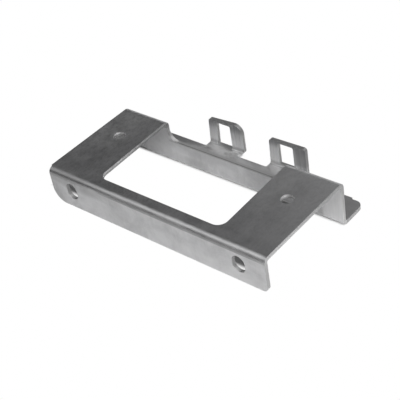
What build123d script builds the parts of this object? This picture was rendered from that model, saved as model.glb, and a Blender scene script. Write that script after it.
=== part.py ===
"""Radiator mounting bracket: one steel sheet, punched and folded.

A plate lies on top. A short flange folds down from its front edge. A web folds down from its
rear edge, and a ledge runs on backwards from the foot of the web. Two tabs with small windows
stand up from the rear edge of the ledge. A wide window is punched out of the plate and runs
over the rear bend into the web.

X runs along the bracket, Y to the rear and Z up. The origin is below the middle of the part,
on the plane of the ledge's underside.
"""

from build123d import *

import os

os.makedirs("parts", exist_ok=True)

# Sheet
sheet = 2.0
bend_inner = 1.0

# Folded channel
length = 130.0
plate_depth = 59.0
flange_drop = 18.6
web_drop = 24.6
ledge_reach = 15.5

# Corners and end steps of the channel
flange_inset = 0.7
flange_corner_left = 7.0
flange_corner_right = 2.5
ledge_corner = 3.5
ledge_step = 0.9
ledge_step_width = 6.5

# Window through the plate and the web
window_width = 73.6
window_lean = 1.4
window_margin = 7.3
window_corner = 4.8
window_drop = 10.8
window_foot_corner = 5.5

# Round holes in the plate, whose middle lies a little to the left
hole_diameter = 6.4
hole_pitch = 101.7
hole_offset = 0.45
hole_setback = 37.15

# Upright slots in the front flange
slot_width = 7.0
slot_height = 9.0
slot_pitch = 101.0
slot_drop = 9.0

# Tabs at the rear edge of the ledge. The left edges lean in and the tops rise to the right
tab_width = 21.9
tab_pitch = 38.6
tab_setback = 6.0
tab_height = 16.5
tab_lean_left = 0.9
tab_lean_right = 0.45
tab_rise_left = 1.4
tab_rise_right = 0.5
tab_corner = 1.5
tab_corner_large = 4.8

# Relief below the right foot of each tab, and the corners where the tabs leave the ledge
relief_width = 1.5
root_corner = 0.8

# Windows in the tabs
tab_window_width = 9.0
tab_window_pitch = 38.7
tab_window_offset = 0.9
tab_window_margin = 0.9
tab_window_lean = 0.8
tab_window_corner = 0.8
tab_sill_left = 2.0
tab_sill_right = 3.0

# Planes and edges that follow from these
bend_outer = bend_inner + sheet
depth = plate_depth + ledge_reach + tab_setback
front = -depth / 2
web_rear = front + plate_depth
ledge_rear = web_rear + ledge_reach
tab_rear = ledge_rear + tab_setback
tab_front = tab_rear - sheet
top = web_drop
flange_foot = top - flange_drop
ledge_top = sheet
end = length / 2
tab_bend_top = ledge_top + bend_inner
tab_stock_top = tab_height + sheet
tab_window_top = tab_height - tab_window_margin
near = sheet / 100


def edges_at(part, along, axis, place):
    """The straight edges along one axis with their middle at a place on another, left to right."""
    straight = part.edges().filter_by(along)
    return straight.filter_by_position(axis, place - near, place + near).sort_by(Axis.X)


with BuildPart() as bracket:
    # Channel: the skin line runs up the flange, over the plate and down the web to the ledge
    with BuildSketch(Plane.YZ) as section:
        with BuildLine():
            skin = FilletPolyline(
                (front, flange_foot),
                (front, top),
                (web_rear, top),
                (web_rear, ledge_top),
                (ledge_rear, ledge_top),
                radius=(bend_outer, bend_outer, bend_inner),
            )
            offset(skin, amount=sheet, side=Side.RIGHT)
        make_face()
    extrude(amount=length / 2, both=True)

    # The ledge stands back a little at both ends, with round rear corners
    ledge_end_rear = ledge_rear - ledge_step
    with BuildSketch(Plane.XY) as end_steps:
        with Locations((-end, ledge_rear)):
            Rectangle(ledge_step_width, ledge_step, align=(Align.MIN, Align.MAX))
        with Locations((end, ledge_rear)):
            Rectangle(ledge_step_width, ledge_step, align=(Align.MAX, Align.MAX))
    extrude(amount=sheet, mode=Mode.SUBTRACT)
    rear_edges = edges_at(bracket, Axis.Z, Axis.Y, ledge_end_rear)
    fillet([rear_edges[0], rear_edges[-1]], ledge_corner)

    # The front flange stands in a little at its left end, from the bend down
    with BuildSketch(Plane.XZ.offset(-front)):
        with Locations((-end, flange_foot)):
            Rectangle(flange_inset, flange_drop, align=(Align.MIN, Align.MIN))
    extrude(amount=-bend_outer, mode=Mode.SUBTRACT)

    # Lower corners of the front flange, large at its left end
    for which, radius in ((0, flange_corner_left), (-1, flange_corner_right)):
        foot_edges = edges_at(bracket, Axis.Y, Axis.Y, front + sheet / 2)
        fillet(foot_edges[which], radius)

    # Window: one cut down through the plate and one back through the rear bend and the web
    window_half = window_width / 2
    with BuildSketch(Plane.XY.offset(top)) as plate_window:
        with BuildLine():
            Polyline(
                (-window_half, front + window_margin),
                (window_half, front + window_margin),
                (window_half - window_lean, web_rear),
                (-window_half - window_lean, web_rear),
                close=True,
            )
        make_face()
        fillet(plate_window.vertices().group_by(Axis.Y)[0], window_corner)
    extrude(amount=-bend_outer, mode=Mode.SUBTRACT)
    with BuildSketch(Plane.XZ.offset(-web_rear)) as web_window:
        with Locations((-window_lean, top)):
            Rectangle(window_width, window_drop, align=(Align.CENTER, Align.MAX))
        fillet(web_window.vertices().group_by(Axis.Y)[0], window_foot_corner)
    extrude(amount=bend_outer, mode=Mode.SUBTRACT)

    # Round holes in the plate
    with Locations(Plane.XY.offset(top)):
        with Locations((-hole_offset, front + hole_setback)):
            with GridLocations(hole_pitch, 1, 2, 1):
                Hole(hole_diameter / 2, depth=sheet)

    # Upright slots in the front flange
    with BuildSketch(Plane.XZ.offset(-front)):
        with Locations((0, top - slot_drop)):
            with GridLocations(slot_pitch, 1, 2, 1):
                SlotOverall(slot_height, slot_width, rotation=90)
    extrude(amount=-sheet, mode=Mode.SUBTRACT)

    # Tabs: each runs out from the ledge and turns up
    tab_planes = [Plane.YZ.offset(side * tab_pitch / 2) for side in (-1, 1)]
    with BuildSketch(*tab_planes):
        with BuildLine():
            tab_skin = FilletPolyline(
                (ledge_rear - sheet, ledge_top),
                (tab_front, ledge_top),
                (tab_front, tab_stock_top),
                radius=bend_inner,
            )
            offset(tab_skin, amount=sheet, side=Side.RIGHT)
        make_face()
    extrude(amount=tab_width / 2, both=True)

    # Tabs seen from the front: left and top edges, window, and relief below the right foot
    tab_half = tab_width / 2
    window_tab_half = tab_window_width / 2
    tab_outlines = (
        (-1, tab_lean_left, tab_rise_left, tab_window_lean, tab_sill_left),
        (1, tab_lean_right, tab_rise_right, 0, tab_sill_right),
    )
    with BuildSketch(Plane.XZ.offset(-tab_rear)):
        for side, lean, rise, window_tilt, sill in tab_outlines:
            tab_left = side * tab_pitch / 2 - tab_half
            tab_right = tab_left + tab_width
            opening_left = side * tab_window_pitch / 2 - tab_window_offset - window_tab_half
            opening_right = opening_left + tab_window_width
            with BuildLine():
                Polyline(
                    (tab_left, tab_bend_top),
                    (tab_left + lean, tab_height),
                    (tab_right, tab_height + rise),
                    (tab_right, tab_stock_top),
                    (tab_left, tab_stock_top),
                    close=True,
                )
            make_face()
            with BuildLine():
                Polyline(
                    (opening_left - window_tilt / 2, sill),
                    (opening_left + window_tilt / 2, tab_window_top),
                    (opening_right, tab_window_top),
                    (opening_right, sill),
                    close=True,
                )
            make_face()
            with Locations((tab_right, 0)):
                Rectangle(relief_width, ledge_top, align=(Align.MAX, Align.MIN))
    extrude(amount=tab_setback, mode=Mode.SUBTRACT)

    # Corners of the tabs: the upper right one of the left tab is large
    fillet(edges_at(bracket, Axis.Y, Axis.Z, tab_height), tab_corner)
    fillet(edges_at(bracket, Axis.Y, Axis.Z, tab_height + tab_rise_left), tab_corner_large)
    fillet(edges_at(bracket, Axis.Y, Axis.Z, tab_height + tab_rise_right), tab_corner)
    fillet(edges_at(bracket, Axis.Y, Axis.Z, tab_window_top), tab_window_corner)

    # Inside corners where the tabs leave the ledge
    fillet(edges_at(bracket, Axis.Z, Axis.Y, ledge_rear)[1:-1], root_corner)

bracket.part.label = "bracket"
export_step(bracket.part, "parts/bracket.step")
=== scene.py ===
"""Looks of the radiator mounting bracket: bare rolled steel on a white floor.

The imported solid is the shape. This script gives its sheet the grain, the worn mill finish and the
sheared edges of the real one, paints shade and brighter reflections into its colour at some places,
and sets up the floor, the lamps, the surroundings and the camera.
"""

import math

import bpy
import numpy as np
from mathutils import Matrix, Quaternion, Vector


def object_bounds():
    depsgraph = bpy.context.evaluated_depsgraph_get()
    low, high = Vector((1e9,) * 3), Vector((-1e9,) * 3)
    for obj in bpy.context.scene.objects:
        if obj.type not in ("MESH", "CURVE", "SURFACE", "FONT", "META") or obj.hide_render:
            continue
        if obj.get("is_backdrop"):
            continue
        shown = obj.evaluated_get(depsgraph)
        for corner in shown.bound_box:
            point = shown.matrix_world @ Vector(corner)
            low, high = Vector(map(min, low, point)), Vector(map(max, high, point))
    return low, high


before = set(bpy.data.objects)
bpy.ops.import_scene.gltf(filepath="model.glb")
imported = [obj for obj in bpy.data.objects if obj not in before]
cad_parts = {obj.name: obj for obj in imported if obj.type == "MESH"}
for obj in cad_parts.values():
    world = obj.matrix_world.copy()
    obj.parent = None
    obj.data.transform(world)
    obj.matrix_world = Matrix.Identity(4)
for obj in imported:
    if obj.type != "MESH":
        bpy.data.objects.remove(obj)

bl_info = {
    "name": "Radiator Bracket Looks",
    "version": (1, 0, 0),
    "blender": (4, 5, 0),
    "location": "3D View > Sidebar > Bracket",
    "description": "Rolled steel finish and studio for a folded radiator mounting bracket",
    "category": "Material",
}

MM = 0.001
BOX_LOW, BOX_HIGH = (Vector(corner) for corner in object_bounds())
SHEET = 2.0 * MM

# Soft boxes on the sheet in millimetres: low corner, high corner, fade and share
WEB_RIGHT_END = ((40, 14, 0), (66, 17, 20), (4, 0.4, 2), 0.6)
RUBBED_PLACES = {
    "ledge and feet of the tabs": ((-28, 23, -1), (16, 45, 6), (16, 4, 8), 1.0),
    "front bend, less to the left": ((20, -45, 21.8), (70, -38.1, 26), (110, 1, 1), 0.5),
}
# Places where brighter reflected light is painted into the steel's colour
PAINTED_LIGHT_PLACES = {
    "right end of the web": WEB_RIGHT_END,
    "lower right of the flange": ((30, -45, 0), (70, -39.5, 10), (20, 1, 4), 0.3),
    "left end of the plate": ((-70, -10, 24), (-52, 10, 26), (10, 8, 1), 0.8),
    "plate right of its window": ((34, -14, 24), (44, 8, 26), (6, 8, 1), 0.4),
    "foot of the web": ((-40, 14, -1), (40, 19, 2), (1, 1, 1), 0.8),
    "middle of the ledge": ((-40, 26, -1), (20, 31, 2.4), (2, 2, 1), 0.5),
    "ledge between the tabs": ((-8, 28, -1), (20, 32, 2.4), (3, 2, 1), 0.8),
    "ledge before the left tab": ((-30, 32, -1), (-14, 37, 2.4), (6, 2, 1), 1.0),
    "ledge before the right tab": ((8, 28, -1), (20, 37, 2.4), (4, 3, 1), 0.9),
    "left post of the left tab": ((-31, 37.5, 7), (-25, 38.5, 10), (1, 0.5, 4), 0.5),
    "left post of the right tab": ((8, 37.5, 7), (14, 38.5, 12), (1, 0.5, 4), 0.5),
    "rear of the web's cut edge": ((-38, 17.7, 13.5), (38, 20, 14), (1, 0.4, 0.5), 0.6),
}
BRUSHED_PLACES = {
    "tabs": ((-40, 37.5, 3), (40, 42, 20), (1, 0.5, 2), 1.0),
    "plate": ((-70, -38, 23), (70, 20, 26), (1, 2, 1), 0.12),
    "right end of the web": WEB_RIGHT_END,
}
SPECKLED_PLACES = {
    "left part of the plate": ((-70, -36, 24), (-10, 18, 26), (40, 3, 1), 1.0),
    "whole plate": ((-70, -36, 24), (70, 18, 26), (1, 3, 1), 0.55),
}
# Places where shade and darker reflections are painted into the steel's colour: in creases, under the
# plate, in holes and slots, below the front bend's highlight and along some edges
PAINTED_SHADE_PLACES = {
    "tops of the tabs": ((-31, 37.5, 15.5), (31, 41, 20), (1, 1, 4), 0.42),
    "feet of the tabs": ((-31, 37.2, 1.9), (31, 41, 3.2), (1, 0.5, 1.6), 0.3),
    "line along the edges of the tabs": ((-31, 38.9, 3), (31, 39.6, 20), (1, 0.5, 1), 0.38),
    "large corner of the left tab": ((-14, 38.9, 12.5), (-8, 41, 19), (1, 0.3, 1.5), 0.55),
    "right post of the right tab": ((25, 37.5, 7), (31, 41, 20), (3, 1, 2.5), 0.54),
    "right foot of the right tab": ((24, 37.2, 1.9), (31, 41, 3.2), (1, 0.5, 1.6), 0.42),
    "right end of the ledge": ((48, 20, -1), (66, 36, 3), (6, 1, 1), 0.28),
    "upper left of the web": ((-40, 14, 11), (0, 17, 15), (16, 0.4, 6), 0.2),
    "lower left of the web": ((-60, 14, -1), (-16, 17, 4.5), (4, 0.4, 5), 0.26),
    "left end of the web": ((-60, 14, 0), (-38.5, 17, 22), (3, 0.4, 1), 0.22),
    "left end of the web's foot": ((-66, 14, -1), (-58, 18.5, 2), (5, 0.4, 2), 0.8),
    "right half of the web": ((-4, 14, -1), (44, 17, 14), (14, 0.4, 6), 0.12),
    "spot near the right end of the web": ((44, 14, 3.5), (53, 17, 8), (2.5, 0.4, 2), 0.4),
    "front of the web's cut edge": ((-38, 16.6, 13.3), (38, 17.0, 14), (1, 0.5, 0.5), 0.4),
    "left edge of the plate's window": ((-42, -34, 21), (-35, 18, 23.3), (0.5, 1, 0.5), 0.55),
    "wall of the left round hole": ((-56, -7, 21), (-47, 1, 23.4), (0.5, 0.5, 0.6), 0.7),
    "wall of the right round hole": ((46, -7, 21), (55, 1, 23.1), (0.5, 0.5, 0.6), 0.6),
    "left part of the front bend": ((-70, -45, 19.5), (-40, -39, 26), (30, 1.5, 4), 0.35),
    "left end of the front bend": ((-70, -45, 21.5), (-46, -39, 26), (16, 1.5, 1), 0.5),
    "line at the foot of the front bend": ((-26, -45, 21.9), (55, -39.9, 22.6), (16, 0.3, 0.6), 0.52),
    "middle of the flange": ((-34, -45, 6), (14, -39.9, 16), (8, 0.3, 4), 0.1),
    "left end of the flange": ((-70, -45, 0), (-62, -39, 22), (8, 1, 1), 0.22),
    "left edge of the flange": ((-66, -45, 11), (-63.8, -39, 21), (0.8, 1, 3), 0.4),
    "rear of the flange and its slots": ((-56, -39.8, 9), (56, -38.2, 21.5), (1, 0.3, 1), 0.3),
}

# Soft boxes for the shadow painted on the floor, on the plate's level: what casts it, what lets light
# pass
SHADOW_CASTERS = {
    "plate": ((-56, -32, 0), (56, 9, 40), (9, 9, 9), 1.0),
    "flange": ((-51.3, -46.3, 0), (63.3, -22.7, 40), (3, 3, 9), 1.0),
}
SHADOW_OPENINGS = {
    "window": ((-37, -32, 0), (36, 39, 40), (9, 9, 9), 1.0),
}

# Azimuth and elevation in degrees, width and height in metres, and how bright the face looks
LAMPS = {
    "key": (48, 54, 1.0, 1.0, 2.95),
    "side": (80, 36, 1.0, 1.0, 2.5),
    "fill": (300, 38, 1.0, 1.0, 0.62),
    "low_panel": (222, 9, 1.2, 0.45, 0.45),
    "rear_panel": (180, 34, 1.0, 0.8, 0.95),
}
LAMP_DISTANCE = 1.5
CAMERA_AIM = Vector((16.7 * MM, -22.7 * MM, BOX_HIGH.z))


def linear(hex_colour):
    """An sRGB hex colour as linear red, green, blue and alpha."""
    code = hex_colour.lstrip("#")
    parts = [int(code[i : i + 2], 16) / 255 for i in (0, 2, 4)]
    return (*[c / 12.92 if c <= 0.04045 else ((c + 0.055) / 1.055) ** 2.4 for c in parts], 1.0)


def colour_setting(name, description, hex_colour):
    """A colour property whose default is an sRGB hex colour."""
    return bpy.props.FloatVectorProperty(
        name=name,
        description=description,
        subtype="COLOR",
        size=4,
        min=0.0,
        max=1.0,
        default=linear(hex_colour),
    )


def length_setting(name, description, millimetres):
    """A length property whose default is given in millimetres."""
    return bpy.props.FloatProperty(
        name=name,
        description=description,
        default=millimetres * MM,
        min=0.05 * MM,
        subtype="DISTANCE",
    )


def angle_setting(name, description, degrees):
    """An angle property whose default is given in degrees."""
    return bpy.props.FloatProperty(
        name=name, description=description, default=math.radians(degrees), subtype="ANGLE"
    )


def roughness_setting(name, description, default):
    """A roughness property, from nearly a mirror to matt."""
    return bpy.props.FloatProperty(
        name=name, description=description, default=default, min=0.05, max=1.0, subtype="FACTOR"
    )


def add_node(tree, kind, settings=None, inputs=None):
    """Add a node. Settings are its properties, inputs are values or the outputs linked to them."""
    node = tree.nodes.new(kind)
    for name, value in (settings or {}).items():
        setattr(node, name, value)
    for key, value in (inputs or {}).items():
        if isinstance(value, bpy.types.NodeSocket):
            tree.links.new(value, node.inputs[key])
        else:
            node.inputs[key].default_value = value
    return node


def empty_tree(owner):
    """The owner's node tree with nothing in it."""
    owner.use_nodes = True
    owner.node_tree.nodes.clear()
    return owner.node_tree


class SteelSettings(bpy.types.PropertyGroup):
    """Sizes and colours of the rolled steel."""

    colour: colour_setting("Steel", "Colour of the clean rolled skin", "#F1F1F2")
    dull_colour: colour_setting("Dull Steel", "Colour where the skin is dull", "#DCDCDD")
    rubbed_colour: colour_setting("Rubbed Steel", "Colour where the tool rubbed it", "#F4F4F4")
    # Painted light: brighter reflections are painted into the skin in this colour
    painted_light_colour: colour_setting("Bright Steel", "Colour where the skin is bright", "#FCFCFC")
    # Painted shade is drawn in this colour, and so are the plate's dull specks
    shade_and_speck_colour: colour_setting("Dark Steel", "Colour where punch and die left it dark", "#8A8A8A")
    edge_colour: colour_setting("Sheared Edge", "Colour of the punched edges", "#DEDEDE")
    grain_width: length_setting(
        "Grain Width", "Width of one line of the rolling grain, across the bracket", 1.1
    )
    grain_length: length_setting(
        "Grain Length", "Length of one line of the rolling grain, along the unrolled sheet", 14
    )
    mark_width: length_setting("Mark Width", "Width of one rub mark beside the folds", 2.4)
    mark_length: length_setting("Mark Length", "Length of one rub mark, along the folds", 9)
    speck_width: length_setting("Speck Width", "Width of one dull speck on the plate", 1.4)
    speck_length: length_setting("Speck Length", "Length of one dull speck, front to rear", 2.33)
    cloud_size: length_setting("Cloud Size", "Width of one soft patch in the mill finish", 11)
    roughness: roughness_setting("Roughness", "Mean roughness of the rolled skin", 0.45)
    rubbed_roughness: roughness_setting(
        "Rubbed Roughness", "Roughness where the folding tool rubbed the skin", 0.62
    )
    edge_roughness: roughness_setting("Edge Roughness", "Roughness of the punched edges", 0.6)


class StageSettings(bpy.types.PropertyGroup):
    """The floor, the lamps, the surroundings and the camera."""

    floor_colour: colour_setting("Floor", "Colour of the floor", "#F4F4F4")
    # The shade colour paints the shadow into the floor's colour as the camera sees it
    shade_colour: colour_setting("Shade", "Colour of the floor in the shadow", "#A8A8A8")
    room_colour: colour_setting("Room", "Colour of the dark room round the stage", "#262627")
    lamp_level: bpy.props.FloatProperty(
        name="Lamp Level",
        description="Share of their full power at which all lamps burn",
        default=1.0,
        min=0.0,
        subtype="FACTOR",
    )
    camera_azimuth: angle_setting(
        "Azimuth", "Direction from the bracket to the camera, from the front to the right", 45.93
    )
    camera_elevation: angle_setting("Elevation", "Angle of the camera above the floor", 37.95)
    camera_roll: angle_setting("Roll", "Turn of the camera about its line of sight", -10.55)
    camera_distance: length_setting(
        "Distance", "Distance from the camera to the point it aims at", 444.39
    )
    camera_lens: bpy.props.FloatProperty(
        name="Lens",
        description="Focal length of the camera",
        default=90.06,
        min=20.0,
        unit="CAMERA",
    )


class BRACKET_OT_steel(bpy.types.Operator):
    """Give the bracket the finish of bare rolled steel"""

    bl_idname = "bracket.steel"
    bl_label = "Rolled Steel"

    def execute(self, context):
        material = rolled_steel(context.scene.bracket_steel)
        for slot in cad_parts["bracket"].material_slots:
            slot.material = material
        return {"FINISHED"}


class BRACKET_OT_stage(bpy.types.Operator):
    """Set up the floor, the lamps, the surroundings and the camera"""

    bl_idname = "bracket.stage"
    bl_label = "Studio"

    def execute(self, context):
        settings = context.scene.bracket_stage
        build_floor(settings)
        light_room(settings)
        hang_lamps(settings)
        aim_camera(settings)
        return {"FINISHED"}


class BRACKET_PT_looks(bpy.types.Panel):
    """Sizes and colours of the bracket's looks"""

    bl_idname = "BRACKET_PT_looks"
    bl_label = "Radiator Bracket"
    bl_space_type = "VIEW_3D"
    bl_region_type = "UI"
    bl_category = "Bracket"

    def draw(self, context):
        for group, operator in (
            (context.scene.bracket_steel, BRACKET_OT_steel),
            (context.scene.bracket_stage, BRACKET_OT_stage),
        ):
            column = self.layout.column(align=True)
            for name in type(group).__annotations__:
                column.prop(group, name)
            self.layout.operator(operator.bl_idname)


def rolled_steel(settings):
    """Cold rolled mild steel, bare, rolled along the unrolled sheet, then punched and folded.

    It gives the eye a grey mirror blurred by fine lines from front to rear, with soft clouds
    of duller skin, and rough matt edges where the sheet was sheared. At some places shade is
    painted into its colour, and brighter reflected light at others. The real lines are finer
    than a tenth of a millimetre, so they are drawn coarser, as wide as a pixel needs.
    """
    material = bpy.data.materials.new("rolled_steel")
    tree = empty_tree(material)
    place = add_node(tree, "ShaderNodeTexCoord").outputs["Object"]
    patterns = skin_patterns(tree, place, settings)
    clean = mill_finish(tree, place, patterns)
    edge = sheared_edges(tree, place)

    # Rubbing counts in full for the roughness and by half for the colour
    rubbed = broken_up(
        tree,
        patches(tree, place, RUBBED_PLACES),
        patterns["marks"],
        limits=(0.42, 0.58),
        shares=(0.2, 1.0),
    )
    half_rubbed = add_node(tree, "ShaderNodeMath", {"operation": "MULTIPLY"}, {0: rubbed, 1: 0.5})

    speckled = broken_up(
        tree,
        patches(tree, place, SPECKLED_PLACES),
        patterns["specks"],
        limits=(0.42, 0.66),
        shares=(0.0, 0.34),
    )
    # Painted shade, joined with the plate's dull specks
    dark = add_node(
        tree,
        "ShaderNodeMath",
        {"operation": "MAXIMUM"},
        {0: patches(tree, place, PAINTED_SHADE_PLACES), 1: speckled},
    )

    # Each layer covers the colour below it by its share. The bright layer is painted reflected light;
    # the dark layer is painted shade, together with the plate's dull specks
    colour = settings.dull_colour
    for share, layer in (
        (clean, settings.colour),
        (half_rubbed.outputs[0], settings.rubbed_colour),
        (edge, settings.edge_colour),
        (patches(tree, place, PAINTED_LIGHT_PLACES), settings.painted_light_colour),
        (dark.outputs[0], settings.shade_and_speck_colour),
    ):
        colour = add_node(
            tree, "ShaderNodeMix", {"data_type": "RGBA"}, {0: share, 6: colour, 7: layer}
        ).outputs[2]

    # Dull skin is a little rougher than clean skin
    spread = 0.06
    roughness = settings.roughness + spread
    for share, layer in (
        (clean, settings.roughness - spread),
        (rubbed, settings.rubbed_roughness),
        (edge, settings.edge_roughness),
    ):
        roughness = add_node(
            tree, "ShaderNodeMix", {"data_type": "FLOAT"}, {0: share, 2: roughness, 3: layer}
        ).outputs[0]

    grain_depth = 0.05 * MM
    relief = add_node(
        tree,
        "ShaderNodeBump",
        inputs={"Strength": 0.1, "Distance": grain_depth, "Height": patterns["grain"]},
    )
    # The grain follows the sheet round its folds, and blurs what it reflects across the lines
    quarter_turn = 0.25
    round_the_bracket = add_node(
        tree, "ShaderNodeTangent", {"direction_type": "RADIAL", "axis": "X"}
    )
    shader = add_node(
        tree,
        "ShaderNodeBsdfPrincipled",
        inputs={
            "Base Color": colour,
            "Metallic": 1.0,
            "Roughness": roughness,
            "Anisotropic": 0.55,
            "Anisotropic Rotation": quarter_turn,
            "Normal": relief.outputs[0],
            "Tangent": round_the_bracket.outputs[0],
        },
    )
    add_node(tree, "ShaderNodeOutputMaterial", inputs={"Surface": shader.outputs[0]})
    return material


def skin_patterns(tree, place, settings):
    """Noise for the grain, the clouds, the rub marks and the specks.

    A row is the pattern's name, its sizes along X, Y and Z, and the noise's detail, roughness
    and distortion.
    """
    patterns = {}
    for name, sizes, detail, roughness, distortion in (
        ("grain", (settings.grain_width, *[settings.grain_length] * 2), 3.0, 0.6, 0.0),
        ("clouds", [settings.cloud_size] * 3, 5.0, 0.65, 0.4),
        ("marks", (settings.mark_length, *[settings.mark_width] * 2), 2.0, 0.5, 0.3),
        ("specks", (settings.speck_width, *[settings.speck_length] * 2), 4.0, 0.7, 0.0),
    ):
        scaled = add_node(
            tree,
            "ShaderNodeMapping",
            inputs={"Vector": place, "Scale": [1 / size for size in sizes]},
        )
        noise = add_node(
            tree,
            "ShaderNodeTexNoise",
            inputs={
                "Vector": scaled.outputs[0],
                "Scale": 1.0,
                "Detail": detail,
                "Roughness": roughness,
                "Distortion": distortion,
            },
        )
        patterns[name] = noise.outputs["Fac"]
    return patterns


def mill_finish(tree, place, patterns):
    """How clean the skin is, from nothing where it is dull to one.

    Clouds decide it, and on brushed places the grain does, which is faint elsewhere.
    """
    faint_grain = 0.12
    dull_limit, clean_limit = 0.36, 0.64
    grain_share = add_node(
        tree,
        "ShaderNodeMapRange",
        inputs={"Value": patches(tree, place, BRUSHED_PLACES), "To Min": faint_grain},
    )
    mottle = add_node(
        tree,
        "ShaderNodeMix",
        {"data_type": "FLOAT"},
        {0: grain_share.outputs[0], 2: patterns["clouds"], 3: patterns["grain"]},
    )
    clean = add_node(
        tree,
        "ShaderNodeMapRange",
        inputs={"Value": mottle.outputs[0], "From Min": dull_limit, "From Max": clean_limit},
    )
    return clean.outputs[0]


def broken_up(tree, share, noise, limits, shares):
    """A share broken up by noise.

    Where the noise lies below its limits, the first of the two shares is left of it, and the
    second where the noise lies above them.
    """
    between = add_node(
        tree,
        "ShaderNodeMapRange",
        inputs={
            "Value": noise,
            "From Min": limits[0],
            "From Max": limits[1],
            "To Min": shares[0],
            "To Max": shares[1],
        },
    )
    return add_node(
        tree, "ShaderNodeMath", {"operation": "MULTIPLY"}, {0: share, 1: between.outputs[0]}
    ).outputs[0]


def patches(tree, place, boxes):
    """The strongest share that soft boxes give to a place.

    A box is its low corner, its high corner, how far it fades out along X, Y and Z, and its
    share. How far a place lies outside is measured in fades, along the axis where it lies
    furthest out, and the share falls smoothly from the box to one fade away.
    """
    strongest = 0.0
    for low, high, fade, share in boxes.values():
        low, high, fade = np.array((low, high, fade)) * MM
        centred = add_node(
            tree,
            "ShaderNodeMapping",
            inputs={"Vector": place, "Location": -(low + high) / 2 / fade, "Scale": 1 / fade},
        )
        off_middle = add_node(
            tree, "ShaderNodeVectorMath", {"operation": "ABSOLUTE"}, {0: centred.outputs[0]}
        )
        outside = add_node(
            tree,
            "ShaderNodeVectorMath",
            {"operation": "SUBTRACT"},
            {0: off_middle.outputs[0], 1: (high - low) / 2 / fade},
        )
        axes = add_node(tree, "ShaderNodeSeparateXYZ", inputs={0: outside.outputs[0]})
        furthest = axes.outputs["X"]
        for axis in "YZ":
            furthest = add_node(
                tree,
                "ShaderNodeMath",
                {"operation": "MAXIMUM"},
                {0: furthest, 1: axes.outputs[axis]},
            ).outputs[0]
        inside = add_node(
            tree,
            "ShaderNodeMapRange",
            {"interpolation_type": "SMOOTHSTEP"},
            {"Value": furthest, "From Min": 1.0, "From Max": 0.0, "To Max": share},
        )
        strongest = add_node(
            tree, "ShaderNodeMath", {"operation": "MAXIMUM"}, {0: strongest, 1: inside.outputs[0]}
        ).outputs[0]
    return strongest


def sheared_edges(tree, place):
    """One on the punched edges and nothing on the sheet's two skins.

    No skin faces along X, because all folds run that way, so what leans along X is an edge.
    The other edges face up or down between the plate and the ledge, or to the front or rear
    within the plate or the ledge. A row is the axis that such an edge faces, how squarely it
    does, and the limits on an axis between which it lies.
    """
    slack = 0.4 * MM
    leaning, square = 0.05, 0.9
    plate_rear, ledge_front = 15 * MM, 22 * MM
    facing = add_node(tree, "ShaderNodeNewGeometry").outputs["True Normal"]
    either_way = add_node(tree, "ShaderNodeVectorMath", {"operation": "ABSOLUTE"}, {0: facing})
    normal = add_node(tree, "ShaderNodeSeparateXYZ", inputs={0: either_way.outputs[0]})
    point = add_node(tree, "ShaderNodeSeparateXYZ", inputs={0: place})
    edge = 0.0
    for faced, squarely, axis, low, high in (
        ("X", leaning, "X", BOX_LOW.x - slack, BOX_HIGH.x + slack),
        ("Z", square, "Z", BOX_LOW.z + SHEET + slack, BOX_HIGH.z - SHEET - slack),
        ("Y", square, "Y", BOX_LOW.y + 2 * SHEET, plate_rear),
        ("Y", square, "Y", ledge_front, BOX_HIGH.y - SHEET - slack),
    ):
        found = 1.0
        for operation, value, limit in (
            ("GREATER_THAN", normal.outputs[faced], squarely),
            ("GREATER_THAN", point.outputs[axis], low),
            ("LESS_THAN", point.outputs[axis], high),
        ):
            passed = add_node(
                tree, "ShaderNodeMath", {"operation": operation}, {0: value, 1: limit}
            )
            found = add_node(
                tree, "ShaderNodeMath", {"operation": "MULTIPLY"}, {0: found, 1: passed.outputs[0]}
            ).outputs[0]
        edge = add_node(
            tree, "ShaderNodeMath", {"operation": "MAXIMUM"}, {0: edge, 1: found}
        ).outputs[0]
    return edge


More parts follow.
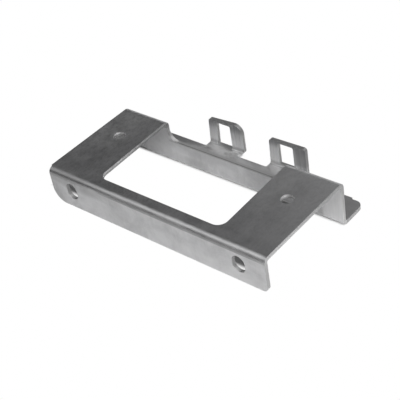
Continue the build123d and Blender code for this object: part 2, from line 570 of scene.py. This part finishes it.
def build_floor(settings):
    """A flat round floor, white to the camera where it lies open, that keeps its shade and a painted
    shadow.

    The surface is a disc: radius times cosine and sine of the angle, at one height.
    """
    radius, ring_count, side_count = 4.0, 8, 64
    gap = 0.2 * MM
    height = BOX_LOW.z - gap
    rings = np.linspace(0, radius, ring_count + 1)[1:]
    angles = np.linspace(0, 2 * np.pi, side_count, endpoint=False)
    ring, angle = np.meshgrid(rings, angles, indexing="ij")
    disc = np.stack(
        [ring * np.cos(angle), ring * np.sin(angle), np.full_like(ring, height)], axis=-1
    )
    points = np.vstack([[0.0, 0.0, height], disc.reshape(-1, 3)])
    spoke = np.arange(side_count)
    after = (spoke + 1) % side_count
    fan = np.stack([np.zeros(side_count, int), spoke + 1, after + 1], axis=1)
    inner = 1 + side_count * np.arange(ring_count - 1)[:, None]
    outer = inner + side_count
    bands = np.stack([inner + spoke, outer + spoke, outer + after, inner + after], axis=-1)
    mesh = bpy.data.meshes.new("floor")
    mesh.from_pydata(points.tolist(), [], fan.tolist() + bands.reshape(-1, 4).tolist())
    floor = bpy.data.objects.new("floor", mesh)
    bpy.context.scene.collection.objects.link(floor)
    mesh.materials.append(floor_paper(settings))
    floor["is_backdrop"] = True


def floor_paper(settings):
    """White matt background paper.

    It reads as plain white where it lies open, and keeps its own shade close to the bracket:
    the share of white grows with how much of the sky above stays open. In the painted shadow
    the white is taken away and the paper's colour is darkened to the shade colour for the camera.
    """
    sky_reach = 12 * MM
    closed_sky, open_sky = 0.14, 0.5
    material = bpy.data.materials.new("background_paper")
    tree = empty_tree(material)
    camera_ray = add_node(tree, "ShaderNodeLightPath").outputs["Is Camera Ray"]
    sky = add_node(tree, "ShaderNodeAmbientOcclusion", {"samples": 16}, {"Distance": sky_reach})
    open_share = add_node(
        tree,
        "ShaderNodeMapRange",
        {"interpolation_type": "SMOOTHSTEP"},
        {"Value": sky.outputs["AO"], "From Min": closed_sky, "From Max": open_sky},
    )
    shadow = painted_shadow_share(tree, settings)
    lit = add_node(tree, "ShaderNodeMath", {"operation": "SUBTRACT"}, {0: 1.0, 1: shadow})
    white_share = camera_ray
    for share in (open_share, lit):
        white_share = add_node(
            tree,
            "ShaderNodeMath",
            {"operation": "MULTIPLY"},
            {0: white_share, 1: share.outputs[0]},
        ).outputs[0]
    # The painted shadow darkens the paper's colour for the camera
    seen_painted_shadow = add_node(
        tree, "ShaderNodeMath", {"operation": "MULTIPLY"}, {0: shadow, 1: camera_ray}
    )
    tone = add_node(
        tree,
        "ShaderNodeMix",
        {"data_type": "RGBA"},
        {0: seen_painted_shadow.outputs[0], 6: settings.floor_colour, 7: settings.shade_colour},
    )
    paper = add_node(tree, "ShaderNodeBsdfDiffuse", inputs={"Color": tone.outputs[2]})
    white = add_node(tree, "ShaderNodeEmission", inputs={"Strength": 1.0})
    surface = add_node(
        tree,
        "ShaderNodeMixShader",
        inputs={0: white_share, 1: paper.outputs[0], 2: white.outputs[0]},
    )
    add_node(tree, "ShaderNodeOutputMaterial", inputs={"Surface": surface.outputs[0]})
    return material


def painted_shadow_share(tree, settings):
    """One in a painted shadow, laid where a lamp at the camera's place would cast it, and nothing
    outside it.

    The bracket hides this shadow from the camera, but for what shows through the slots. A line
    from the lamp to a point of the floor crosses the plate's level at the point brought
    towards the lamp by the plate's share of the lamp's height. The shadow lies where that
    crossing falls on the plate or the flange but not in the plate's window.
    """
    lamp = camera_place(settings)
    share = BOX_HIGH.z / lamp.z
    crossing = add_node(
        tree,
        "ShaderNodeMapping",
        inputs={
            "Vector": add_node(tree, "ShaderNodeTexCoord").outputs["Object"],
            "Location": lamp * share,
            "Scale": (1 - share, 1 - share, 1),
        },
    ).outputs[0]
    closed = add_node(
        tree,
        "ShaderNodeMath",
        {"operation": "SUBTRACT"},
        {0: 1.0, 1: patches(tree, crossing, SHADOW_OPENINGS)},
    )
    shadow = add_node(
        tree,
        "ShaderNodeMath",
        {"operation": "MINIMUM"},
        {0: patches(tree, crossing, SHADOW_CASTERS), 1: closed.outputs[0]},
    )
    return shadow.outputs[0]


def light_room(settings):
    """A dark room, which the steel's upper faces reflect, white where the camera sees it."""
    world = bpy.data.worlds.new("room")
    tree = empty_tree(world)
    camera_ray = add_node(tree, "ShaderNodeLightPath").outputs["Is Camera Ray"]
    room, paper = (
        add_node(tree, "ShaderNodeBackground", inputs={"Color": colour, "Strength": 1.0})
        for colour in (settings.room_colour, linear("#FFFFFF"))
    )
    mix = add_node(
        tree,
        "ShaderNodeMixShader",
        inputs={0: camera_ray, 1: room.outputs[0], 2: paper.outputs[0]},
    )
    add_node(tree, "ShaderNodeOutputWorld", inputs={"Surface": mix.outputs[0]})
    bpy.context.scene.world = world


def direction_to(azimuth, elevation):
    """The way from the bracket to a place round it. Azimuth 0 is the front and 90 the right."""
    return Vector(
        (
            math.sin(azimuth) * math.cos(elevation),
            -math.cos(azimuth) * math.cos(elevation),
            math.sin(elevation),
        )
    )


def hang_lamps(settings):
    """Soft rectangular lamps round the bracket, all facing it from one distance.

    The key hangs above the camera, a side lamp at the right, a weak fill at the front left, a
    low panel at the rear left and another panel at the rear.
    """
    for name, (azimuth, elevation, width, height, brightness) in LAMPS.items():
        data = bpy.data.lights.new(name, "AREA")
        data.shape = "RECTANGLE"
        data.size, data.size_y = width, height
        data.energy = math.pi * width * height * brightness * settings.lamp_level
        lamp = bpy.data.objects.new(name, data)
        bpy.context.scene.collection.objects.link(lamp)
        way = direction_to(math.radians(azimuth), math.radians(elevation))
        lamp.location = way * LAMP_DISTANCE
        lamp.rotation_mode = "QUATERNION"
        lamp.rotation_quaternion = way.to_track_quat("Z", "Y")
        lamp.visible_camera = False


def camera_place(settings):
    """Where the camera stands: back from its aim, a point on the plate at the front right."""
    back = direction_to(settings.camera_azimuth, settings.camera_elevation)
    return CAMERA_AIM + back * settings.camera_distance


def aim_camera(settings):
    """The camera looks from the front right and above at the plate, rolled a little."""
    data = bpy.data.cameras.new("camera")
    data.lens = settings.camera_lens
    data.sensor_width = 36.0
    data.clip_start = 0.01
    data.clip_end = 50.0
    camera = bpy.data.objects.new("camera", data)
    bpy.context.scene.collection.objects.link(camera)
    camera.location = camera_place(settings)
    camera.rotation_mode = "QUATERNION"
    back = direction_to(settings.camera_azimuth, settings.camera_elevation)
    upright = back.to_track_quat("Z", "Y")
    camera.rotation_quaternion = upright @ Quaternion((0, 0, 1), settings.camera_roll)
    bpy.context.scene.camera = camera


CLASSES = (
    SteelSettings,
    StageSettings,
    BRACKET_OT_steel,
    BRACKET_OT_stage,
    BRACKET_PT_looks,
)


def register():
    for cls in CLASSES:
        bpy.utils.register_class(cls)
    bpy.types.Scene.bracket_steel = bpy.props.PointerProperty(type=SteelSettings)
    bpy.types.Scene.bracket_stage = bpy.props.PointerProperty(type=StageSettings)


def unregister():
    del bpy.types.Scene.bracket_stage
    del bpy.types.Scene.bracket_steel
    for cls in reversed(CLASSES):
        bpy.utils.unregister_class(cls)


def main():
    register()
    bpy.context.scene.view_settings.view_transform = "Standard"
    bpy.ops.bracket.steel()
    bpy.ops.bracket.stage()


if __name__ == "__main__":
    main()
